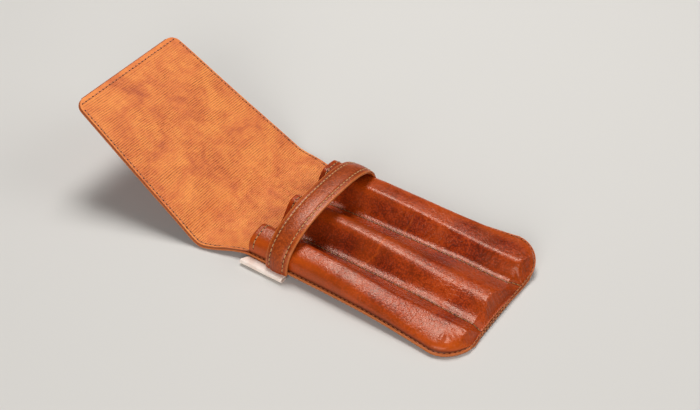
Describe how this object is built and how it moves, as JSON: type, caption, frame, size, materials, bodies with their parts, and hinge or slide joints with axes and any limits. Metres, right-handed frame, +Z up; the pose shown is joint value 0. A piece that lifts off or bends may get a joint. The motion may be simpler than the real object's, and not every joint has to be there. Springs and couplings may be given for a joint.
{
  "type": "fountain pen case",
  "caption": "Leather fountain pen case with moulded pen channels, an arched strap and a long lined flap that folds over and is tucked under the strap.",
  "frame": {"origin": "on the flat underside of the back panel, halfway along the pocket and halfway across it", "axes": "+X towards the pocket's closed toe, -X towards its mouth and the flap; +Z up out of the back towards the moulded front; the side tab is on the -Y side"},
  "size_m": [0.2538, 0.1002, 0.056],
  "materials": {
    "outer_leather": "glossy waxed full-grain leather, tan with darker clouds",
    "strap_leather": "glossy waxed full-grain leather with burnished edges",
    "lining_leather": "satin embossed leather with fine cross ribs",
    "tab_leather": "matte pale undyed leather"
  },
  "bodies": {
    "pocket": {"back_panel": "outer_leather", "back_lining": "lining_leather", "front_panel": "outer_leather", "front_lining": "lining_leather", "strap_outer": "strap_leather", "strap_lining": "lining_leather", "side_tab": "tab_leather"},
    "spine": {"spine_panel": "outer_leather", "spine_lining": "lining_leather"},
    "tongue": {"tongue_panel": "outer_leather", "tongue_lining": "lining_leather"}
  },
  "joints": [
    {"name": "first_fold", "type": "hinge", "parent": "pocket", "child": "spine", "pos_m": [-0.097, 0, 0.0013], "axis": [0, 1, 0], "range_deg": [-31, 59]},
    {"name": "second_fold", "type": "hinge", "parent": "spine", "child": "tongue", "pos_m": [-0.115, 0, 0.01212], "axis": [0, 1, 0], "range_deg": [0, 76]}
  ]
}
